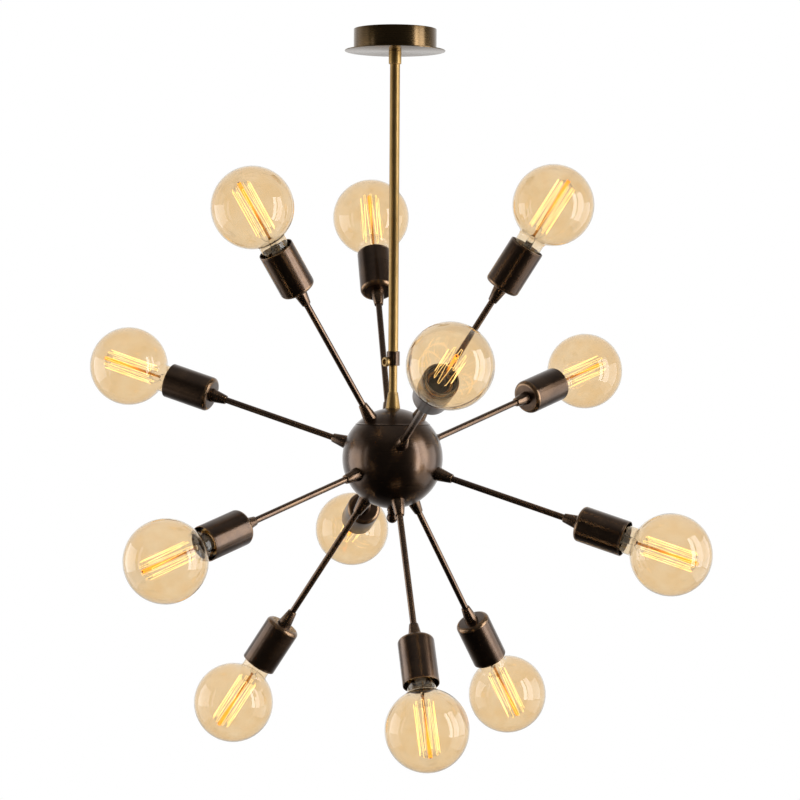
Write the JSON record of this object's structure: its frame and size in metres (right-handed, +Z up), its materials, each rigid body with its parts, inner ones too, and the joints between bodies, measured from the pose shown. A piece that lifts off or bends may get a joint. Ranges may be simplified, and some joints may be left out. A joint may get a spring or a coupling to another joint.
{
  "type": "sputnik chandelier",
  "caption": "Ceiling chandelier with a telescopic stem and a ball hub whose straight arms carry cylinder sockets with amber globe bulbs in all directions.",
  "frame": {"origin": "on the stem axis in the plane of the ceiling, which is the top face of the crossbar, midway between its two slots", "axes": "+Z up along the stem, +X along the crossbar to the right of the lamp as it is seen in the picture, -Y towards the viewer"},
  "size_m": [0.737, 0.7643, 0.8518],
  "materials": {
    "dark_bronze": "dark antique bronze, brushed round, edges rubbed",
    "antique_brass": "antique brass, satin",
    "zinc_steel": "zinc plated",
    "holder_bakelite": "moulded brown phenolic",
    "wire_insulation": "plain",
    "connector_plastic": "moulded",
    "cable_sheath": "smooth sheath",
    "bulb_metal": "bright rolled screw cap",
    "amber_glass": "blown, amber tint"
  },
  "bodies": {
    "root": {"ceiling_crossbar": "zinc_steel", "crossbar_nipple": "zinc_steel", "crossbar_fasteners": "zinc_steel", "canopy_drum": "antique_brass", "canopy_plate": "antique_brass", "stem_coupling": "antique_brass", "stem_outer_tube": "antique_brass", "clamp_collar": "dark_bronze", "supply_cable": "cable_sheath"},
    "thumb_screw": {"thumb_screw": "antique_brass"},
    "inner_stem": {"stem_inner_tube": "antique_brass"},
    "hub": {"stem_cone": "antique_brass", "hub_cap": "dark_bronze", "hub_shell": "dark_bronze", "hub_yoke": "zinc_steel", "tie_rod": "zinc_steel", "finial": "dark_bronze", "wire_connectors": "connector_plastic", "hub_cones": "dark_bronze", "socket_cones": "dark_bronze", "socket_cups": "dark_bronze", "lampholders": "holder_bakelite", "arm_wiring": "wire_insulation", "hub_locknuts": "zinc_steel", "arm_tube_01": "dark_bronze", "arm_tube_02": "dark_bronze", "arm_tube_03": "dark_bronze", "arm_tube_04": "dark_bronze", "arm_tube_05": "dark_bronze", "arm_tube_06": "dark_bronze", "arm_tube_07": "dark_bronze", "arm_tube_08": "dark_bronze", "arm_tube_09": "dark_bronze", "arm_tube_10": "dark_bronze", "arm_tube_11": "dark_bronze", "arm_tube_12": "dark_bronze"},
    "bulb_01": {"bulb_glass_01": "amber_glass", "bulb_base_01": "bulb_metal"},
    "bulb_02": {"bulb_glass_02": "amber_glass", "bulb_base_02": "bulb_metal"},
    "bulb_03": {"bulb_glass_03": "amber_glass", "bulb_base_03": "bulb_metal"},
    "bulb_04": {"bulb_glass_04": "amber_glass", "bulb_base_04": "bulb_metal"},
    "bulb_05": {"bulb_glass_05": "amber_glass", "bulb_base_05": "bulb_metal"},
    "bulb_06": {"bulb_glass_06": "amber_glass", "bulb_base_06": "bulb_metal"},
    "bulb_07": {"bulb_glass_07": "amber_glass", "bulb_base_07": "bulb_metal"},
    "bulb_08": {"bulb_glass_08": "amber_glass", "bulb_base_08": "bulb_metal"},
    "bulb_09": {"bulb_glass_09": "amber_glass", "bulb_base_09": "bulb_metal"},
    "bulb_10": {"bulb_glass_10": "amber_glass", "bulb_base_10": "bulb_metal"},
    "bulb_11": {"bulb_glass_11": "amber_glass", "bulb_base_11": "bulb_metal"},
    "bulb_12": {"bulb_glass_12": "amber_glass", "bulb_base_12": "bulb_metal"}
  },
  "joints": [
    {"name": "stem_slide", "type": "slide", "parent": "root", "child": "inner_stem", "axis": [0, 0, -1], "range_m": [-0.028, 0.25], "deforming": ["supply_cable"]},
    {"name": "hub_swivel", "type": "hinge", "parent": "inner_stem", "child": "hub", "pos_m": [0, 0, -0.50735], "axis": [0, 0, 1], "range_deg": [-180, 180]},
    {"name": "screw_turn", "type": "hinge", "parent": "root", "child": "thumb_screw", "pos_m": [0, 0, -0.3932], "axis": [-0.809, -0.5878, 0], "range_deg": [0, 360]},
    {"name": "bulb_01_out", "type": "slide", "parent": "hub", "child": "bulb_01", "axis": [-0.4503, -0.3778, 0.809], "range_m": [0, 0.03]},
    {"name": "bulb_02_out", "type": "slide", "parent": "hub", "child": "bulb_02", "axis": [-0.0827, 0.5531, 0.829], "range_m": [0, 0.03]},
    {"name": "bulb_03_out", "type": "slide", "parent": "hub", "child": "bulb_03", "axis": [0.5187, -0.1888, 0.8339], "range_m": [0, 0.03]},
    {"name": "bulb_04_out", "type": "slide", "parent": "hub", "child": "bulb_04", "axis": [0.1733, -0.9351, 0.309], "range_m": [0, 0.03]},
    {"name": "bulb_05_out", "type": "slide", "parent": "hub", "child": "bulb_05", "axis": [-0.907, 0.2947, 0.3007], "range_m": [0, 0.03]},
    {"name": "bulb_06_out", "type": "slide", "parent": "hub", "child": "bulb_06", "axis": [0.6821, 0.6703, 0.2924], "range_m": [0, 0.03]},
    {"name": "bulb_07_out", "type": "slide", "parent": "hub", "child": "bulb_07", "axis": [-0.6975, -0.6504, -0.3007], "range_m": [0, 0.03]},
    {"name": "bulb_08_out", "type": "slide", "parent": "hub", "child": "bulb_08", "axis": [-0.1496, 0.9445, -0.2924], "range_m": [0, 0.03]},
    {"name": "bulb_09_out", "type": "slide", "parent": "hub", "child": "bulb_09", "axis": [0.8957, -0.3349, -0.2924], "range_m": [0, 0.03]},
    {"name": "bulb_10_out", "type": "slide", "parent": "hub", "child": "bulb_10", "axis": [-0.5331, 0.1429, -0.8339], "range_m": [0, 0.03]},
    {"name": "bulb_11_out", "type": "slide", "parent": "hub", "child": "bulb_11", "axis": [0.1148, -0.5399, -0.8339], "range_m": [0, 0.03]},
    {"name": "bulb_12_out", "type": "slide", "parent": "hub", "child": "bulb_12", "axis": [0.4022, 0.3884, -0.829], "range_m": [0, 0.03]}
  ]
}
